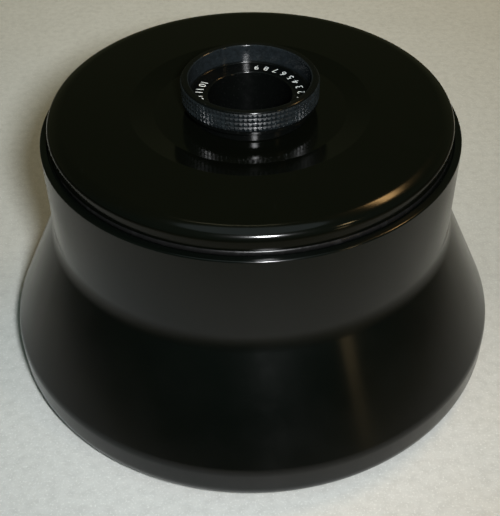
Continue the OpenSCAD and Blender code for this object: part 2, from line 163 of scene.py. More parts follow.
class LidSizes(bpy.types.PropertyGroup):
    edge_rise: length("Edge rise", "Height of the lid edge above the rim", 1.6 * MM)
    plate: length("Plate", "Thickness of the lid plate", 4 * MM)
    boss_plate: length("Boss depth", "Thickness of the lid at the boss", 9.6 * MM)
    skirt: length("Skirt radius", "Outer radius of the skirt", 78.5 * MM)
    crown_drop: length("Crown drop", "Fall of the crown before the corner", 2.1 * MM)
    crown_slope: FloatProperty(
        name="Crown slope", description="Slope of the crown", default=math.radians(28), subtype="ANGLE"
    )
    corner_round: length("Corner round", "Radius of the lid corner", 3.3 * MM)
    crown_round: length("Crown round", "Radius between crown and top", 10 * MM)
    dish: length("Dish radius", "Radius of the dish in the lid top", 48.5 * MM)
    dish_floor: length("Dish floor", "Radius of the flat floor of the dish", 38.75 * MM)
    dish_depth: length("Dish depth", "Depth of the dish", 1.8 * MM)
    boss: length("Boss radius", "Radius of the boss under the lid", 27 * MM)
    bore: length("Bore radius", "Radius of the bore for the knob sleeve", 19.38 * MM)


class KnobSizes(bpy.types.PropertyGroup):
    grip: length("Grip height", "Height of the grip with its plain band", 9.7 * MM)
    band: length("Band height", "Height of the plain band", 1.5 * MM)
    wall: length("Grip wall", "Thickness of the grip wall", 3.3 * MM)
    recess: length("Recess", "Depth of the recess inside the grip", 8.1 * MM)
    ridges: IntProperty(name="Ridges", description="Knurl teeth round the grip", default=96, min=3)
    rows: IntProperty(name="Rows", description="Knurl teeth up the grip", default=4, min=1)
    depth: length("Knurl depth", "Depth of the knurl", 0.55 * MM)
    land: FloatProperty(name="Land", description="Flat share of a knurl tooth", default=0.4, min=0, max=1)
    inset: length("Knurl inset", "From the knob top down to the knurl", 0.6 * MM)
    neck: length("Neck radius", "Radius of the neck below the grip", 24.5 * MM)
    neck_foot: length("Neck foot", "Height of the neck's underside", 115.73 * MM)
    bore: length("Bore radius", "Bore of the knob and its sleeve", 16.7 * MM)
    sleeve: length("Sleeve radius", "Outer radius of the sleeve", 19.3 * MM)
    digits: length("Digit size", "Type size of the plain numbers on the ledge", 4.3 * MM)
    pocket_digits: length("Pocket digit size", "Type size of the pocket numbers on the hub", 3.6 * MM)


class RotorColours(bpy.types.PropertyGroup):
    body: colour("Body", "Satin anodising of the body", (0.0008, 0.0012, 0.0009))
    lid: colour("Lid", "Gloss anodising of the lid", (0.0008, 0.001, 0.0006))
    knob: colour("Knob", "Gloss anodising of the knob", (0.0009, 0.0011, 0.001))
    knurl: colour("Knurl", "Anodising worn by hands on the knurl", (0.0022, 0.003, 0.0034))
    steel: colour("Steel", "Turned stainless steel", (0.58, 0.58, 0.59))
    spring: colour("Spring steel", "Dark spring steel", (0.2, 0.2, 0.22))
    nickel: colour("Nickel", "Nickel plating", (0.65, 0.62, 0.57))
    rubber: colour("Rubber", "Black rubber", (0.003, 0.003, 0.003))
    washer: colour("Washer", "White plastic", (0.78, 0.78, 0.74))
    marks: colour("Marks", "Filling of the engraved numbers", (0.34, 0.35, 0.34))
    floor: colour("Floor", "Pale sheet under the rotor", (0.66, 0.67, 0.65))


# ---- outlines ----


def rounded_corner(before, at, after, radius):
    """The points that round one corner; the round never eats more than half of a side."""
    u, w = (before - at), (after - at)
    room = 0.49 * min(u.length, w.length)
    u, w = u.normalized(), w.normalized()
    half = math.acos(max(-1.0, min(1.0, u.dot(w)))) / 2
    radius = min(radius, room * math.tan(half))
    if radius <= TINY:
        return [at]
    centre = at + (u + w).normalized() * radius / math.sin(half)
    first = at + u * radius / math.tan(half) - centre
    last = at + w * radius / math.tan(half) - centre
    start = math.atan2(first.y, first.x)
    turn = (math.atan2(last.y, last.x) - start + 3 * math.pi) % (2 * math.pi) - math.pi
    angles = [start + turn * i / ARC_STEPS for i in range(ARC_STEPS + 1)]
    return [centre + radius * Vector((math.cos(a), math.sin(a))) for a in angles]


def soften(outline):
    """An outline of [radius, height, rounding] as plain points."""
    points = [Vector(p[:2]) for p in outline]
    count = len(points)
    made = []
    for i, p in enumerate(outline):
        made += rounded_corner(points[i - 1], points[i], points[(i + 1) % count], p[2])
    return made


def groove(radius, depth, low, high):
    """A square groove turned into a wall, from its lower to its upper corner."""
    return [(radius, low, 0), (radius - depth, low, 0), (radius - depth, high, 0), (radius, high, 0)]


# ---- meshes ----


def scene_object(name, mesh):
    made = bpy.data.objects.new(name, mesh)
    bpy.context.scene.collection.objects.link(made)
    return made


def mesh_object(name, bm):
    bmesh.ops.recalc_face_normals(bm, faces=bm.faces)
    mesh = bpy.data.meshes.new(name)
    bm.to_mesh(mesh)
    bm.free()
    return scene_object(name, mesh)


def revolve(bm, points, segments=TURN_SEGMENTS, place=Matrix.Identity(4)):
    """Turns a closed outline about the spin axis; a point on the axis becomes one vertex."""
    rings = []
    for p in points:
        if p[0] < TINY:
            rings.append([bm.verts.new(place @ Vector((0, 0, p[1])))] * segments)
            continue
        angles = [2 * math.pi * k / segments for k in range(segments)]
        spots = [Vector((p[0] * math.cos(a), p[0] * math.sin(a), p[1])) for a in angles]
        rings.append([bm.verts.new(place @ spot) for spot in spots])
    for low, high in zip(rings, rings[1:] + rings[:1]):
        for k in range(segments):
            j = (k + 1) % segments
            corners = list(dict.fromkeys((low[k], low[j], high[j], high[k])))
            if len(corners) > 2:
                bm.faces.new(corners)


def settle(obj):
    """Applies what the modifiers made, and shades it by angle."""
    shading = obj.modifiers.new("Even shading", "WEIGHTED_NORMAL")
    shading.keep_sharp = True
    graph = bpy.context.evaluated_depsgraph_get()
    obj.data.shade_smooth()
    obj.data.set_sharp_from_angle(angle=SHARP_ANGLE)
    graph.update()
    mesh = bpy.data.meshes.new_from_object(obj.evaluated_get(graph))
    obj.modifiers.clear()
    obj.data = mesh
    return obj


def dress(obj, material, slot, body, *nodes):
    """Gives a finished piece its material and its body, and hides the nodes that it stands for. The slot is
    not used.
    """
    obj.data.materials.clear()
    obj.data.materials.append(material)
    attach(obj, body)
    if nodes:
        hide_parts(*nodes)
    return obj


def smooth_copy(node):
    """A merged and smoothly shaded copy of a CAD node."""
    bm = bmesh.new()
    bm.from_mesh(frame["nodes"][node].data)
    bmesh.ops.remove_doubles(bm, verts=bm.verts, dist=TINY)
    return settle(mesh_object(node + "_finished", bm))


def ring_of(node):
    """(radius of the section's centre, section radius, height) of a ring seal, from its box."""
    low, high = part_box(node)
    section = (high.z - low.z) / 2
    return high.x - section, section, (high.z + low.z) / 2


def helix(name, crest, root, low, high, pitch):
    """A thread: one ridge that runs round from low to high and fades out at both ends."""
    total = int((high - low) / pitch * THREAD_STEPS)
    fade, least = THREAD_STEPS / 3, 0.02
    foot_half = pitch * 0.42
    crest_half = foot_half * 0.25
    bm = bmesh.new()
    rows = []
    for i in range(total + 1):
        angle, z = 2 * math.pi * i / THREAD_STEPS, low + (high - low) * i / total
        rise = root + (crest - root) * max(least, min(1, i / fade, (total - i) / fade))
        profile = ((root, z - foot_half), (rise, z - crest_half),
                   (rise, z + crest_half), (root, z + foot_half))
        rows.append([bm.verts.new((r * math.cos(angle), r * math.sin(angle), h)) for r, h in profile])
    for a, b in zip(rows, rows[1:]):
        for k in range(4):
            bm.faces.new((a[k], a[(k + 1) % 4], b[(k + 1) % 4], b[k]))
    for end in (rows[0], rows[-1]):
        bm.faces.new(end)
    return mesh_object(name, bm)


def numbers(name, words, size, radius, height, first, step):
    """Plain numbers round a ring, read from outside; first and step are angles."""
    bm = bmesh.new()
    for i, word in enumerate(words):
        curve = bpy.data.curves.new(name, "FONT")
        curve.body, curve.size = str(word), size
        curve.align_x, curve.align_y = "CENTER", "CENTER"
        curve.extrude = DIGIT_RISE
        text = scene_object(name + "_word", curve)
        graph = bpy.context.evaluated_depsgraph_get()
        mesh = bpy.data.meshes.new_from_object(text.evaluated_get(graph))
        angle = first + i * step
        place = Matrix.Rotation(angle, 4, "Z") @ Matrix.Translation((0, -radius, height))
        mesh.transform(place)
        bm.from_mesh(mesh)
        bpy.data.objects.remove(text)
        bpy.data.meshes.remove(mesh)
    bmesh.ops.remove_doubles(bm, verts=bm.verts, dist=TINY)
    return mesh_object(name, bm)


# ---- nodes ----


def feed(tree, socket, value):
    """Links a socket to another one, or sets its value."""
    if isinstance(value, bpy.types.NodeSocket):
        tree.links.new(value, socket)
    else:
        socket.default_value = value


def maths(tree, operation, *values):
    made = tree.nodes.new("ShaderNodeMath")
    made.operation = operation
    for socket, value in zip(made.inputs, values):
        feed(tree, socket, value)
    return made.outputs[0]


def split(tree, source):
    """The x, y and z of a vector."""
    made = tree.nodes.new("ShaderNodeSeparateXYZ")
    tree.links.new(source, made.inputs[0])
    return made.outputs


def remapped(tree, source, low, high, to_low, to_high):
    made = tree.nodes.new("ShaderNodeMapRange")
    for label, value in zip(("From Min", "From Max", "To Min", "To Max"), (low, high, to_low, to_high)):
        made.inputs[label].default_value = value
    tree.links.new(source, made.inputs["Value"])
    return made.outputs[0]


def mixed(tree, share, first, second, kind="MIX"):
    """A colour between two, or their product where kind is MULTIPLY."""
    made = tree.nodes.new("ShaderNodeMix")
    made.data_type, made.blend_type = "RGBA", kind
    for label, value in (("Factor", share), ("A", first), ("B", second)):
        feed(tree, made.inputs[label], value)
    return made.outputs["Result"]


def colour_ramp(tree, source, stops):
    """A colour ramp through stops of (position, colour), in rising order."""
    made = tree.nodes.new("ShaderNodeValToRGB")
    elements = made.color_ramp.elements
    for i, (position, tint) in enumerate(stops):
        stop = elements[i] if i < len(elements) else elements.new(position)
        stop.position, stop.color = position, (*tint, 1)
    tree.links.new(source, made.inputs["Fac"])
    return made.outputs["Color"]


def node_tree(name, inputs):
    """A Geometry Nodes tree with named inputs: (name, socket type, default)."""
    tree = bpy.data.node_groups.new(name, "GeometryNodeTree")
    tree.interface.new_socket("Geometry", in_out="OUTPUT", socket_type="NodeSocketGeometry")
    for label, kind, default in inputs:
        socket = tree.interface.new_socket(label, in_out="INPUT", socket_type=kind)
        if default is not None:
            socket.default_value = default
    return tree, tree.nodes.new("NodeGroupInput"), tree.nodes.new("NodeGroupOutput")


def knurl_tree(material):
    """Square knurl teeth on a grid round the grip."""
    length_kind = "NodeSocketFloat"
    tree, given, result = node_tree("Knurl teeth", (
        ("Ridges", "NodeSocketInt", 96), ("Rows", "NodeSocketInt", 4), ("Root radius", length_kind, 0.027),
        ("Depth", length_kind, 0.0005), ("Foot", length_kind, 0.12), ("Row height", length_kind, 0.0018),
        ("Land", length_kind, 0.4),
    ))
    link = tree.links.new
    value = given.outputs
    spots = tree.nodes.new("GeometryNodeMeshLine")
    link(maths(tree, "MULTIPLY", value["Ridges"], value["Rows"]), spots.inputs["Count"])
    index = tree.nodes.new("GeometryNodeInputIndex").outputs[0]
    step = maths(tree, "DIVIDE", 2 * math.pi, value["Ridges"])
    angle = maths(tree, "MULTIPLY", maths(tree, "MODULO", index, value["Ridges"]), step)
    row = maths(tree, "ADD", maths(tree, "FLOOR", maths(tree, "DIVIDE", index, value["Ridges"])), 0.5)
    centre = maths(tree, "ADD", value["Root radius"], maths(tree, "MULTIPLY", value["Depth"], 0.5))
    place = tree.nodes.new("ShaderNodeCombineXYZ")
    link(maths(tree, "MULTIPLY", centre, maths(tree, "COSINE", angle)), place.inputs[0])
    link(maths(tree, "MULTIPLY", centre, maths(tree, "SINE", angle)), place.inputs[1])
    height = maths(tree, "ADD", value["Foot"], maths(tree, "MULTIPLY", row, value["Row height"]))
    link(height, place.inputs[2])
    moved = tree.nodes.new("GeometryNodeSetPosition")
    link(spots.outputs[0], moved.inputs["Geometry"])
    link(place.outputs[0], moved.inputs["Position"])
    tooth = tree.nodes.new("GeometryNodeMeshCone")
    tooth.inputs["Vertices"].default_value = 4
    pitch = maths(tree, "MULTIPLY", value["Root radius"], step)
    corner = maths(tree, "MULTIPLY", pitch, math.sqrt(0.5))
    link(corner, tooth.inputs["Radius Bottom"])
    link(maths(tree, "MULTIPLY", corner, value["Land"]), tooth.inputs["Radius Top"])
    link(value["Depth"], tooth.inputs["Depth"])
    laid = tree.nodes.new("GeometryNodeTransform")
    link(tooth.outputs["Mesh"], laid.inputs["Geometry"])
    laid.inputs["Rotation"].default_value = (0, 0, math.pi / 4)
    sunk = tree.nodes.new("ShaderNodeCombineXYZ")
    link(maths(tree, "MULTIPLY", value["Depth"], -0.5), sunk.inputs[2])
    link(sunk.outputs[0], laid.inputs["Translation"])
    stretched = tree.nodes.new("GeometryNodeTransform")
    link(laid.outputs[0], stretched.inputs["Geometry"])
    stretched.inputs["Rotation"].default_value = (0, math.pi / 2, 0)
    shape = tree.nodes.new("ShaderNodeCombineXYZ")
    shape.inputs[1].default_value = shape.inputs[2].default_value = 1
    link(maths(tree, "DIVIDE", value["Row height"], pitch), shape.inputs[0])
    link(shape.outputs[0], stretched.inputs["Scale"])
    facing = tree.nodes.new("ShaderNodeCombineXYZ")
    link(angle, facing.inputs[2])
    copies = tree.nodes.new("GeometryNodeInstanceOnPoints")
    link(moved.outputs[0], copies.inputs["Points"])
    link(stretched.outputs[0], copies.inputs["Instance"])
    link(facing.outputs[0], copies.inputs["Rotation"])
    real = tree.nodes.new("GeometryNodeRealizeInstances")
    painted = tree.nodes.new("GeometryNodeSetMaterial")
    painted.inputs["Material"].default_value = material
    link(copies.outputs[0], real.inputs[0])
    link(real.outputs[0], painted.inputs["Geometry"])
    link(painted.outputs[0], result.inputs[0])
    return tree


def grown(name, tree, values):
    """The plain mesh that a tree makes with these values, which go in by socket identifier."""
    holder = scene_object(name, bpy.data.meshes.new(name))
    modifier = holder.modifiers.new("Growth", "NODES")
    modifier.node_group = tree
    identifiers = {s.name: s.identifier for s in tree.interface.items_tree if s.in_out == "INPUT"}
    for label, value in values.items():
        modifier[identifiers[label]] = value
    graph = bpy.context.evaluated_depsgraph_get()
    graph.update()
    mesh = bpy.data.meshes.new_from_object(holder.evaluated_get(graph))
    holder.modifiers.clear()
    holder.data = mesh
    return holder


# ---- materials ----


class Surface:
    """A procedural material: a principled shader with worked colour, roughness and relief."""

    def __init__(self, name, tint, metallic, roughness, **constants):
        self.material = bpy.data.materials.new(name)
        self.material.use_nodes = True
        self.tree = self.material.node_tree
        self.shader = self.tree.nodes["Principled BSDF"]
        self.where = self.tree.nodes.new("ShaderNodeTexCoord").outputs["Object"]
        self.tint = tint
        values = dict(base_color=(*tint, 1), metallic=metallic, roughness=roughness, **constants)
        for label, value in values.items():
            socket = label.replace("_", " ").title().replace("Ior", "IOR")
            self.shader.inputs[socket].default_value = value

    def noise(self, scale, detail=4, distortion=0.0, stretch=None):
        made = self.tree.nodes.new("ShaderNodeTexNoise")
        made.inputs["Scale"].default_value = scale
        made.inputs["Detail"].default_value = detail
        made.inputs["Distortion"].default_value = distortion
        source = self.where
        if stretch:
            mapping = self.tree.nodes.new("ShaderNodeMapping")
            mapping.inputs["Scale"].default_value = stretch
            self.tree.links.new(self.where, mapping.inputs["Vector"])
            source = mapping.outputs[0]
        self.tree.links.new(source, made.inputs["Vector"])
        return made.outputs["Fac"]

    def remap(self, source, low, high, to_low, to_high):
        return remapped(self.tree, source, low, high, to_low, to_high)

    def from_axis(self):
        """(distance from the spin axis, height)."""
        x, y, z = split(self.tree, self.where)
        squares = maths(self.tree, "MULTIPLY", x, x), maths(self.tree, "MULTIPLY", y, y)
        return maths(self.tree, "SQRT", maths(self.tree, "ADD", *squares)), z

    def turning(self, pitch):
        """Fine rings left by the lathe, on upright and on flat faces."""
        radius, z = self.from_axis()
        along = maths(self.tree, "ADD", radius, maths(self.tree, "MULTIPLY", z, RING_WEIGHT))
        return maths(self.tree, "SINE", maths(self.tree, "MULTIPLY", along, 2 * math.pi / pitch))

    def drift(self, scale, detail, low, high, distortion=0.0, start=0.3):
        """Lets the roughness drift between low and high."""
        source = self.noise(scale, detail, distortion)
        self.tree.links.new(self.remap(source, start, 0.7, low, high), self.shader.inputs["Roughness"])

    def blend(self, share, other):
        """Mixes another colour over what the base colour has so far."""
        base = self.shader.inputs["Base Color"]
        under = base.links[0].from_socket if base.is_linked else (*self.tint, 1)
        self.tree.links.new(mixed(self.tree, share, under, (*other, 1)), base)

    def stain(self, scale, detail, start, full, other, most=1.0, stretch=None):
        """Another colour where a noise passes start, at its most where it passes full."""
        source = self.noise(scale, detail, stretch=stretch)
        self.blend(self.remap(source, start, full, 0, most), other)

    def relief(self, height, strength, distance):
        bump = self.tree.nodes.new("ShaderNodeBump")
        bump.inputs["Strength"].default_value = strength
        bump.inputs["Distance"].default_value = distance
        self.tree.links.new(height, bump.inputs["Height"])
        self.tree.links.new(bump.outputs[0], self.shader.inputs["Normal"])

    def tooled(self, pitch, scale, detail, strength, distance):
        """Turning marks and a noise, as relief."""
        height = maths(self.tree, "ADD", self.turning(pitch), self.noise(scale, detail))
        self.relief(height, strength, distance)

    def round_grain(self):
        """Turns the anisotropic highlight along the lathe's cut."""
        tangent = self.tree.nodes.new("ShaderNodeTangent")
        tangent.direction_type, tangent.axis = "RADIAL", "Z"
        self.tree.links.new(tangent.outputs[0], self.shader.inputs["Tangent"])


def lighter(tint, gain, lift=0.0):
    """A tint times gain plus lift, which may also darken it."""
    return tuple(min(1.0, c * gain + lift) for c in tint)


def anodised_body(tint):
    s = Surface("Satin anodised body", tint, 0, 0.19,
                ior=BODY_IOR, anisotropic=0.75, anisotropic_rotation=0.25)
    s.round_grain()
    s.drift(55, 6, 0.15, 0.22)
    s.stain(2600, 2, 0.7, 0.8, lighter(tint, 2, 0.008))
    s.tooled(0.4 * MM, 1400, 3, 0.04, 0.02 * MM)
    return s.material


def anodised_lid(tint):
    s = Surface("Gloss anodised lid", tint, 0, 0.1, ior=LID_IOR)
    s.drift(38, 5, 0.11, 0.17, distortion=0.6, start=0.35)
    s.stain(900, 3, 0.74, 0.84, lighter(tint, 2, 0.004), stretch=(1, 0.06, 1))
    s.tooled(0.5 * MM, 60, 2, 0.02, 0.01 * MM)
    return s.material


def anodised_knob(tint):
    """Gloss anodising, with the wall of the recess inside the grip painted paler: a painted sheen that
    stands in for light on that wall.
    """
    s = Surface("Gloss anodised knob", tint, 0, 0.22,
                ior=KNOB_IOR, anisotropic=0.8, anisotropic_rotation=0.25)
    s.round_grain()
    s.drift(300, 4, 0.14, 0.22)
    s.stain(1800, 3, 0.66, 0.78, lighter(tint, 3, 0.01))
    knob = bpy.context.scene.rotor_knob
    wall_r, floor_z = KNOB_HIGH.x - knob.wall, KNOB_HIGH.z - knob.recess
    near, away = 0.2 * MM, 0.6 * MM
    radius, z = s.from_axis()
    inside = s.remap(radius, wall_r - away, wall_r - near, 0, 1)
    outside = s.remap(radius, wall_r + near, wall_r + away, 1, 0)
    above = s.remap(z, floor_z + 0.3 * MM, floor_z + 1.1 * MM, 0, 1)
    wall = maths(s.tree, "MULTIPLY", maths(s.tree, "MULTIPLY", inside, outside), above)
    # Painted sheen: the recess wall is painted paler in patches, in place of light falling on it.
    wall_sheen = s.remap(s.noise(700, 4), 0.3, 0.7, 0.5, 1)
    s.blend(maths(s.tree, "MULTIPLY", wall, wall_sheen), (0.0055, 0.0072, 0.0082))
    s.tooled(0.25 * MM, 2000, 3, 0.05, 0.02 * MM)
    return s.material


def worn_knurl(tint):
    s = Surface("Worn knurl", tint, 0, 0.34, ior=KNURL_IOR)
    s.drift(500, 4, 0.24, 0.36)
    s.stain(420, 5, 0.45, 0.72, lighter(tint, 2.2))
    s.relief(s.noise(2500, 3), 0.1, 0.02 * MM)
    return s.material


def turned_metal(name, tint, roughness):
    s = Surface(name, tint, 1, roughness, anisotropic=0.5)
    s.round_grain()
    s.drift(400, 4, roughness * 0.8, roughness * 1.3)
    s.stain(90, 5, 0.4, 0.7, lighter(tint, 0.8))
    s.relief(s.turning(0.2 * MM), 0.08, 0.01 * MM)
    return s.material


def dark_rubber(tint):
    s = Surface("Dark rubber", tint, 0, 0.28, ior=RUBBER_IOR)
    s.drift(500, 4, 0.2, 0.36)
    s.stain(250, 4, 0.55, 0.75, lighter(tint, 2, 0.001))
    s.relief(s.noise(3000, 3), 0.1, 0.02 * MM)
    return s.material


def plain_plastic(name, tint, roughness):
    s = Surface(name, tint, 0, roughness)
    s.drift(600, 4, roughness * 0.85, roughness * 1.2)
    s.stain(300, 4, 0.5, 0.75, lighter(tint, 0.85))
    s.relief(s.noise(1500, 3), 0.08, 0.02 * MM)
    return s.material


def pale_sheet(tint):
    """A mottled pale sheet, with painted light on it: painted bright in front of the rotor, dim beside it
    and paler again behind.

    To every ray but the camera's own, it ends at its edge.
    """
    s = Surface("Pale sheet", tint, 0, 0.6)
    s.drift(40, 4, 0.5, 0.75)
    s.stain(240, 8, 0.42, 0.72, lighter(tint, 0.88))
    s.stain(1100, 2, 0.56, 0.72, lighter(tint, 1.25), most=0.8)
    s.relief(s.noise(420, 6), 0.3, 0.6 * MM)
    tree, base = s.tree, s.shader.inputs["Base Color"]
    x, y, _ = split(tree, s.where)
    # Painted light along y, multiplied into the sheet's colour.
    painted_light = colour_ramp(tree, s.remap(y, *SHEET_SPAN, 0, 1), SHEET_PAINTED_LIGHT)
    sheet_painted_light = mixed(tree, 1, base.links[0].from_socket, painted_light, "MULTIPLY")
    reach = maths(tree, "MAXIMUM", maths(tree, "ABSOLUTE", x), maths(tree, "ABSOLUTE", y))
    beyond = s.remap(reach, SHEET_HALF + SHEET_FADE[0], SHEET_HALF + SHEET_FADE[1], 0, 0.85)
    seen = tree.nodes.new("ShaderNodeLightPath").outputs["Is Camera Ray"]
    ended = maths(tree, "MULTIPLY", beyond, maths(tree, "SUBTRACT", 1, seen))
    tree.links.new(mixed(tree, ended, sheet_painted_light, (*BEYOND_SHEET, 1)), base)
    return s.material


def material_named(name, make, *given):
    return bpy.data.materials.get(name) or make(*given)


def body_material():
    return material_named("Satin anodised body", anodised_body, bpy.context.scene.rotor_colours.body)


def lid_material():
    return material_named("Gloss anodised lid", anodised_lid, bpy.context.scene.rotor_colours.lid)


def knob_material():
    return material_named("Gloss anodised knob", anodised_knob, bpy.context.scene.rotor_colours.knob)


def knurl_material():
    return material_named("Worn knurl", worn_knurl, bpy.context.scene.rotor_colours.knurl)


def marks_material():
    name = "White filling"
    return material_named(name, plain_plastic, name, bpy.context.scene.rotor_colours.marks, 0.55)


# ---- pieces ----


def pocket_frame(s):
    """(place of the first pocket's round end, with its axis; radius and height of its mouth)."""
    sine, cosine = math.sin(s.lean), math.cos(s.lean)
    flare = BODY_HIGH.x * cosine + s.belly_top * sine
    end_z = s.pocket_wall + s.pocket
    end_r = (flare - s.pocket_wall - s.pocket - end_z * sine) / cosine
    place = Matrix.Translation((end_r, 0, end_z)) @ Matrix.Rotation(-s.lean, 4, "Y")
    return place, end_r - s.pocket_reach * sine, end_z + s.pocket_reach * cosine


def body_outline(s):
    top, under = BODY_HIGH.z, HUB_LOW.z
    fit = 0.05 * MM
    flange, flange_top = HUB_HIGH.x + fit, under + 6 * MM + fit
    barrel, barrel_top = 16.5 * MM + fit, HUB_HIGH.z + fit
    waist = s.belly_top + (BODY_HIGH.x - s.rim) / math.tan(s.lean)
    _, mouth_r, mouth_z = pocket_frame(s)
    hub_top = top - s.hub_drop
    base_round, rim_round, bowl_round, hub_round = 2 * MM, 0.6 * MM, 7 * MM, 6 * MM

    def floor_at(radius):
        return mouth_z + (radius - mouth_r) * math.tan(s.lean)

    return [
        (flange, under, 0), (s.under, under, base_round), (s.under, 0, MM),
        (BODY_HIGH.x, 0, s.foot_round), (BODY_HIGH.x, s.belly_top, s.belly_round),
        (s.rim, waist, s.waist_round), (s.rim, top, rim_round), (s.lip, top, rim_round),
        (s.lip, top - s.seal_seat, 0), (s.shoulder, top - s.seal_seat, EDGE),
        (s.shoulder, top - s.lid_seat, 0), (s.bowl, top - s.lid_seat, EDGE),
        (s.bowl, floor_at(s.bowl), bowl_round), (s.hub, floor_at(s.hub), hub_round),
        (s.hub, hub_top, MM), (s.thread, hub_top, EDGE), (s.thread, hub_top - s.thread_depth, 0),
        (s.bore, hub_top - s.thread_depth, EDGE), (s.bore, barrel_top, 0), (barrel, barrel_top, 0),
        (barrel, flange_top, 0), (flange, flange_top, 0),
    ]


def pocket_cutter(s):
    """All pocket bores in one mesh: round end, straight bore, chamfered mouth."""
    place, _, _ = pocket_frame(s)
    chamfer, over = 0.8 * MM, 6 * MM
    angles = [math.pi / 2 * i / POCKET_ARC_STEPS for i in range(POCKET_ARC_STEPS + 1)]
    outline = [(s.pocket * math.sin(a), -s.pocket * math.cos(a)) for a in angles]
    outline[0] = (0, -s.pocket)
    outline += [(s.pocket, s.pocket_reach - chamfer), (s.pocket + chamfer, s.pocket_reach),
                (s.pocket, s.pocket_reach), (s.pocket, s.pocket_reach + over), (0, s.pocket_reach + over)]
    bm = bmesh.new()
    for i in range(s.pockets):
        turned = Matrix.Rotation(2 * math.pi * i / s.pockets, 4, "Z") @ place
        revolve(bm, outline, POCKET_SEGMENTS, turned)
    return mesh_object("pocket_cutter", bm)


class ROTOR_OT_body(bpy.types.Operator):
    """Make the flared body with its slanted pockets"""

    bl_idname = "rotor.body"
    bl_label = "Body"

    def execute(self, context):
        s = context.scene.rotor_body
        bm = bmesh.new()
        revolve(bm, soften(body_outline(s)))
        body = mesh_object("body_shell", bm)
        cutter = pocket_cutter(s)
        cut = body.modifiers.new("Pockets", "BOOLEAN")
        cut.operation, cut.solver, cut.object = "DIFFERENCE", "EXACT", cutter
        settle(body)
        bpy.data.objects.remove(cutter)
        dress(body, body_material(), "body_anodised", "rotor", "rotor_body")
        hub_top = BODY_HIGH.z - s.hub_drop
        thread = helix("hub_thread", s.thread - HUB_THREAD, s.thread + THREAD_SINK,
                       hub_top - s.thread_depth + s.thread_pitch, hub_top - s.thread_pitch, s.thread_pitch)
        dress(settle(thread), body_material(), "body_anodised", "rotor")
        size = context.scene.rotor_knob.pocket_digits
        digits = numbers("pocket_numbers", range(1, s.pockets + 1), size, (s.hub + s.thread) / 2, hub_top,
                         math.pi / 2, 2 * math.pi / s.pockets)
        dress(digits, marks_material(), "washer_plastic", "rotor")
        return {"FINISHED"}


def lid_outline(s):
    top, outer = LID_HIGH.z, LID_HIGH.x
    under, rim = top - s.plate, BODY_HIGH.z + s.edge_rise
    fillet, dish_round = 5 * MM, 2 * MM
    bowl = bpy.context.scene.rotor_body.bowl
    return [
        (s.bore, top - s.boss_plate, EDGE), (s.boss, top - s.boss_plate, MM), (s.boss, under, fillet),
        (bowl, under, fillet), (bowl, LID_LOW.z, EDGE), (s.skirt, LID_LOW.z, EDGE), (s.skirt, rim, 0),
        (outer, rim, EDGE), (outer, top - s.crown_drop, s.corner_round),
        (outer - s.crown_drop / math.tan(s.crown_slope), top, s.crown_round),
        (s.dish, top, dish_round), (s.dish_floor, top - s.dish_depth, dish_round),
        (s.bore, top - s.dish_depth, EDGE),
    ]


class ROTOR_OT_lid(bpy.types.Operator):
    """Make the lid with its rounded crown and shallow dish"""

    bl_idname = "rotor.lid"
    bl_label = "Lid"

    def execute(self, context):
        bm = bmesh.new()
        revolve(bm, soften(lid_outline(context.scene.rotor_lid)))
        dress(settle(mesh_object("lid_shell", bm)), lid_material(), "lid_anodised", "lid", "lid")
        return {"FINISHED"}


def knob_outline(s):
    top, outer = KNOB_HIGH.z, KNOB_HIGH.x
    grip_foot = top - s.grip
    band_r, core, chamfer = outer - 0.2 * MM, outer - s.depth, 0.3 * MM
    _, ring, ring_z = ring_of("sleeve_seal")
    snap_low, snap_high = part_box("knob_retainer")
    seal_r, seal, _ = ring_of("knob_seal")
    half = seal + 0.12 * MM
    gap, snap_depth = 0.1 * MM, 0.8 * MM
    return [
        (s.bore, KNOB_LOW.z, EDGE), (s.sleeve, KNOB_LOW.z, EDGE),
        *groove(s.sleeve, 2 * ring, ring_z - ring - gap, ring_z + ring + gap),
        *groove(s.sleeve, snap_depth, snap_low.z - gap / 2, snap_high.z + gap / 2),
        (s.sleeve, s.neck_foot, 0), (seal_r - half, s.neck_foot, 0),
        (seal_r - half, s.neck_foot + 2 * seal, 0), (seal_r + half, s.neck_foot + 2 * seal, 0),
        (seal_r + half, s.neck_foot, 0), (s.neck, s.neck_foot, EDGE), (s.neck, grip_foot, MM),
        (band_r, grip_foot, EDGE), (band_r, grip_foot + s.band, 0),
        (core, grip_foot + s.band, 0), (core, top - s.inset, 0), (core - chamfer, top, EDGE),
        (outer - s.wall, top, EDGE), (outer - s.wall, top - s.recess, EDGE), (s.bore, top - s.recess, EDGE),
    ]


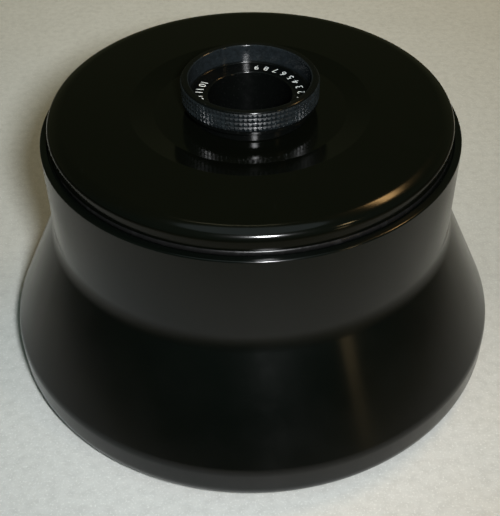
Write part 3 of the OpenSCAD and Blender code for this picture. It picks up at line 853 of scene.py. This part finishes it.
class ROTOR_OT_knob(bpy.types.Operator):
    """Make the knob: turned core, knurl, thread and plain numbers"""

    bl_idname = "rotor.knob"
    bl_label = "Knob"

    def execute(self, context):
        s = context.scene.rotor_knob
        bm = bmesh.new()
        revolve(bm, soften(knob_outline(s)))
        dress(settle(mesh_object("knob_core", bm)), knob_material(), "knob_anodised", "knob", "lid_knob")
        foot, root = KNOB_HIGH.z - s.grip + s.band, KNOB_HIGH.x - s.depth
        teeth = grown("knob_knurl", knurl_tree(knurl_material()), {
            "Ridges": s.ridges, "Rows": s.rows, "Root radius": root, "Depth": s.depth, "Foot": foot,
            "Row height": (KNOB_HIGH.z - s.inset - foot) / s.rows, "Land": s.land,
        })
        dress(teeth, knurl_material(), "knob_anodised", "knob")
        pitch = context.scene.rotor_body.thread_pitch
        thread = helix("sleeve_thread", s.sleeve + SLEEVE_THREAD, s.sleeve - THREAD_SINK,
                       KNOB_LOW.z + pitch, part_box("sleeve_seal")[0].z - pitch, pitch)
        dress(settle(thread), knob_material(), "knob_anodised", "knob")
        ledge_r = (s.bore + KNOB_HIGH.x - s.wall) / 2
        ledge_z = KNOB_HIGH.z - s.recess
        rows = (("dial_numbers", range(1, 10), 80, 11.5), ("dial_numbers_low", range(10, 13), -112, 15))
        for name, words, first, step in rows:
            dial = numbers(name, words, s.digits, ledge_r, ledge_z, math.radians(first), math.radians(step))
            dress(dial, marks_material(), "washer_plastic", "knob")
        return {"FINISHED"}


class ROTOR_OT_seals(bpy.types.Operator):
    """Make the ring seals"""

    bl_idname = "rotor.seals"
    bl_label = "Seals"

    def execute(self, context):
        rubber = dark_rubber(context.scene.rotor_colours.rubber)
        for node in SEALS:
            centre, section, height = ring_of(node)
            angles = [2 * math.pi * i / SEAL_SEGMENTS for i in range(SEAL_SEGMENTS)]
            bm = bmesh.new()
            revolve(bm, [(centre + section * math.cos(a), height + section * math.sin(a)) for a in angles])
            ring = mesh_object(node + "_ring", bm)
            dress(settle(ring), rubber, "seal_rubber", frame["nodes"][node]["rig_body"], node)
        return {"FINISHED"}


class ROTOR_OT_fittings(bpy.types.Operator):
    """Finish the drive hub, screws, pins, snap rings, magnets and washers"""

    bl_idname = "rotor.fittings"
    bl_label = "Fittings"

    def execute(self, context):
        tints = context.scene.rotor_colours
        steel = turned_metal("Turned steel", tints.steel, roughness=0.28)
        spring = turned_metal("Spring steel", tints.spring, roughness=0.35)
        nickel = turned_metal("Nickel plating", tints.nickel, roughness=0.18)
        plastic = plain_plastic("White plastic", tints.washer, roughness=0.5)
        groups = ((STEEL_NODES, steel, "stainless"), (SPRING_NODES, spring, "spring_steel"),
                  (("marker_magnets",), nickel, "nickel"), (("knob_washer",), plastic, "washer_plastic"))
        for nodes, material, slot in groups:
            for node in nodes:
                dress(smooth_copy(node), material, slot, frame["nodes"][node]["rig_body"], node)
        return {"FINISHED"}


def area_lamp(name, place, target, size, power, tint, width=None):
    """A round lamp, or a strip where it has a width."""
    light = bpy.data.lights.new(name, "AREA")
    light.shape, light.size, light.energy, light.color = "RECTANGLE" if width else "DISK", size, power, tint
    light.size_y = width or size
    lamp = scene_object(name, light)
    lamp.location = place
    lamp.rotation_euler = (Vector(target) - Vector(place)).to_track_quat("-Z", "Y").to_euler()
    return light


def room_light():
    """A dim room, a little paler low down at the far side; the camera itself sees a pale backdrop."""
    world = bpy.data.worlds.new("Room")
    bpy.context.scene.world = world
    world.use_nodes = True
    tree = world.node_tree
    _, y, z = split(tree, tree.nodes.new("ShaderNodeTexCoord").outputs["Generated"])
    far = colour_ramp(tree, z, ROOM_FAR)
    room = mixed(tree, remapped(tree, y, -ROOM_TURN, ROOM_TURN, 0, 1), (*ROOM_NEAR, 1), far)
    seen = tree.nodes.new("ShaderNodeLightPath").outputs["Is Camera Ray"]
    tree.links.new(mixed(tree, seen, room, (*BACKDROP, 1)), tree.nodes["Background"].inputs["Color"])


def lamps():
    """The flash beside the camera, and the lamps of the room round it."""
    middle = (0, 0, 0.11)
    flash = area_lamp("Flash", place=(0.043, -0.333, 0.35), target=(-0.1, 0.55, 0),
                      size=0.05, power=1.83, tint=(0.97, 0.98, 1))
    flash.spread = math.radians(100)
    area_lamp("Wide overhead panel", place=(0, -0.1, 1.6), target=middle,
              size=1.1, power=2.3, tint=(0.8, 0.95, 1))
    area_lamp("Far strip", place=(-0.055, 0.58, 1.2), target=middle,
              size=0.29, power=0.13, tint=(1, 0.92, 0.6), width=0.035)
    area_lamp("Warm side lamp", place=(0.66, -0.57, 0.55), target=middle, size=0.1, power=0.7, tint=AMBER)
    area_lamp("Warm low strip", place=(0.65, -0.68, 0.14), target=(0.08, -0.04, 0.05),
              size=0.09, power=0.13, tint=AMBER, width=0.2)
    area_lamp("Warm far lamp", place=(0.62, 0.5, 1.2), target=middle,
              size=0.5, power=4.6, tint=DEEP_AMBER, width=0.1)


def viewpoint():
    """The camera, aimed by its pitch below the horizon, its yaw from +Y and its roll."""
    camera = bpy.data.cameras.new("Camera")
    camera.sensor_fit, camera.sensor_width, camera.lens = "HORIZONTAL", SENSOR, LENS
    viewer = scene_object("Camera", camera)
    viewer.rotation_mode = "QUATERNION"
    level = math.cos(CAMERA_PITCH)
    aim = Vector((math.sin(CAMERA_YAW) * level, math.cos(CAMERA_YAW) * level, -math.sin(CAMERA_PITCH)))
    turned = aim.to_track_quat("-Z", "Y").to_matrix() @ Matrix.Rotation(CAMERA_ROLL, 3, "Z")
    viewer.rotation_quaternion = turned.to_quaternion()
    viewer.location = CAMERA_PLACE
    bpy.context.scene.camera = viewer


class ROTOR_OT_stage(bpy.types.Operator):
    """Make the floor, the lamps and the camera"""

    bl_idname = "rotor.stage"
    bl_label = "Stage"

    def execute(self, context):
        bm = bmesh.new()
        corners = ((-1, -1), (1, -1), (1, 1), (-1, 1))
        bm.faces.new([bm.verts.new((x * FLOOR_HALF, y * FLOOR_HALF, 0)) for x, y in corners])
        mesh = bpy.data.meshes.new("floor")
        bm.to_mesh(mesh)
        bm.free()
        floor = scene_object("floor", mesh)
        floor.data.materials.append(pale_sheet(context.scene.rotor_colours.floor))
        room_light()
        lamps()
        viewpoint()
        context.scene.view_settings.view_transform = "Standard"
        return {"FINISHED"}


class ROTOR_PT_panel(bpy.types.Panel):
    """The rotor's pieces and sizes"""

    bl_idname = "ROTOR_PT_panel"
    bl_label = "Fixed angle rotor"
    bl_space_type = "VIEW_3D"
    bl_region_type = "UI"
    bl_category = "Rotor"

    def draw(self, context):
        for piece in PIECES:
            self.layout.operator(piece.bl_idname)
        for group in SETTINGS:
            box = self.layout.box()
            owner = getattr(context.scene, group)
            for label in SETTINGS[group].__annotations__:
                box.prop(owner, label)


SETTINGS = {
    "rotor_body": BodySizes, "rotor_lid": LidSizes, "rotor_knob": KnobSizes, "rotor_colours": RotorColours,
}
PIECES = (ROTOR_OT_body, ROTOR_OT_lid, ROTOR_OT_knob, ROTOR_OT_seals, ROTOR_OT_fittings, ROTOR_OT_stage)


def register():
    for group, kind in SETTINGS.items():
        bpy.utils.register_class(kind)
        setattr(bpy.types.Scene, group, PointerProperty(type=kind))
    for piece in PIECES:
        bpy.utils.register_class(piece)
    bpy.utils.register_class(ROTOR_PT_panel)


def unregister():
    bpy.utils.unregister_class(ROTOR_PT_panel)
    for piece in reversed(PIECES):
        bpy.utils.unregister_class(piece)
    for group, kind in SETTINGS.items():
        delattr(bpy.types.Scene, group)
        bpy.utils.unregister_class(kind)


def main():
    register()
    for piece in PIECES:
        module, name = piece.bl_idname.split(".")
        getattr(getattr(bpy.ops, module), name)()


if __name__ == "__main__":
    main()
